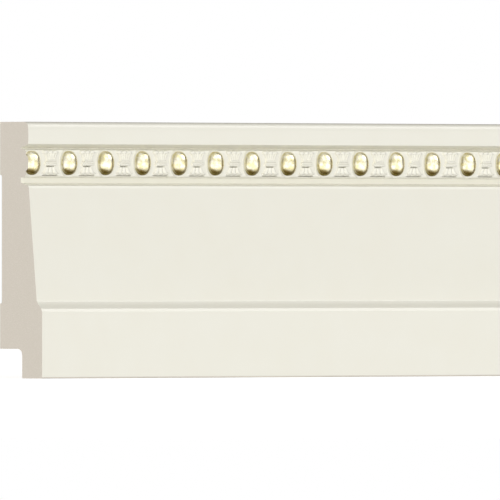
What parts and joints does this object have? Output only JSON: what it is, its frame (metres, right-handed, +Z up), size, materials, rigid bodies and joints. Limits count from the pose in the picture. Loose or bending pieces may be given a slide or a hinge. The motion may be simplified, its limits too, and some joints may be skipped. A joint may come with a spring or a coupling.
{
  "type": "skirting board",
  "caption": "Moulded skirting board with a rounded top fillet, a row of gilded egg-shaped beads between fluted sheaves, a sloping fascia and a plain base block.",
  "frame": {"origin": "centre of the upper flat land of the back, at mid-length, where the board is glued to the wall; the wall plane is y = 0", "axes": "+X along the length, from the left end to the right as seen from the room; +Y into the wall, so the decorated front faces -Y; +Z up, with the floor at z = -0.08965"},
  "size_m": [0.2828, 0.0234, 0.1],
  "materials": {
    "ivory_film": "satin ivory decorative film over extruded foamed polystyrene",
    "gold_foil": "pale gold hot-stamped foil on the beads, slightly mottled",
    "foam_core": "bare beige foamed polystyrene, on the sawn ends and the back"
  },
  "bodies": {
    "root": {"skirting_board": "ivory_film"}
  },
  "joints": []
}
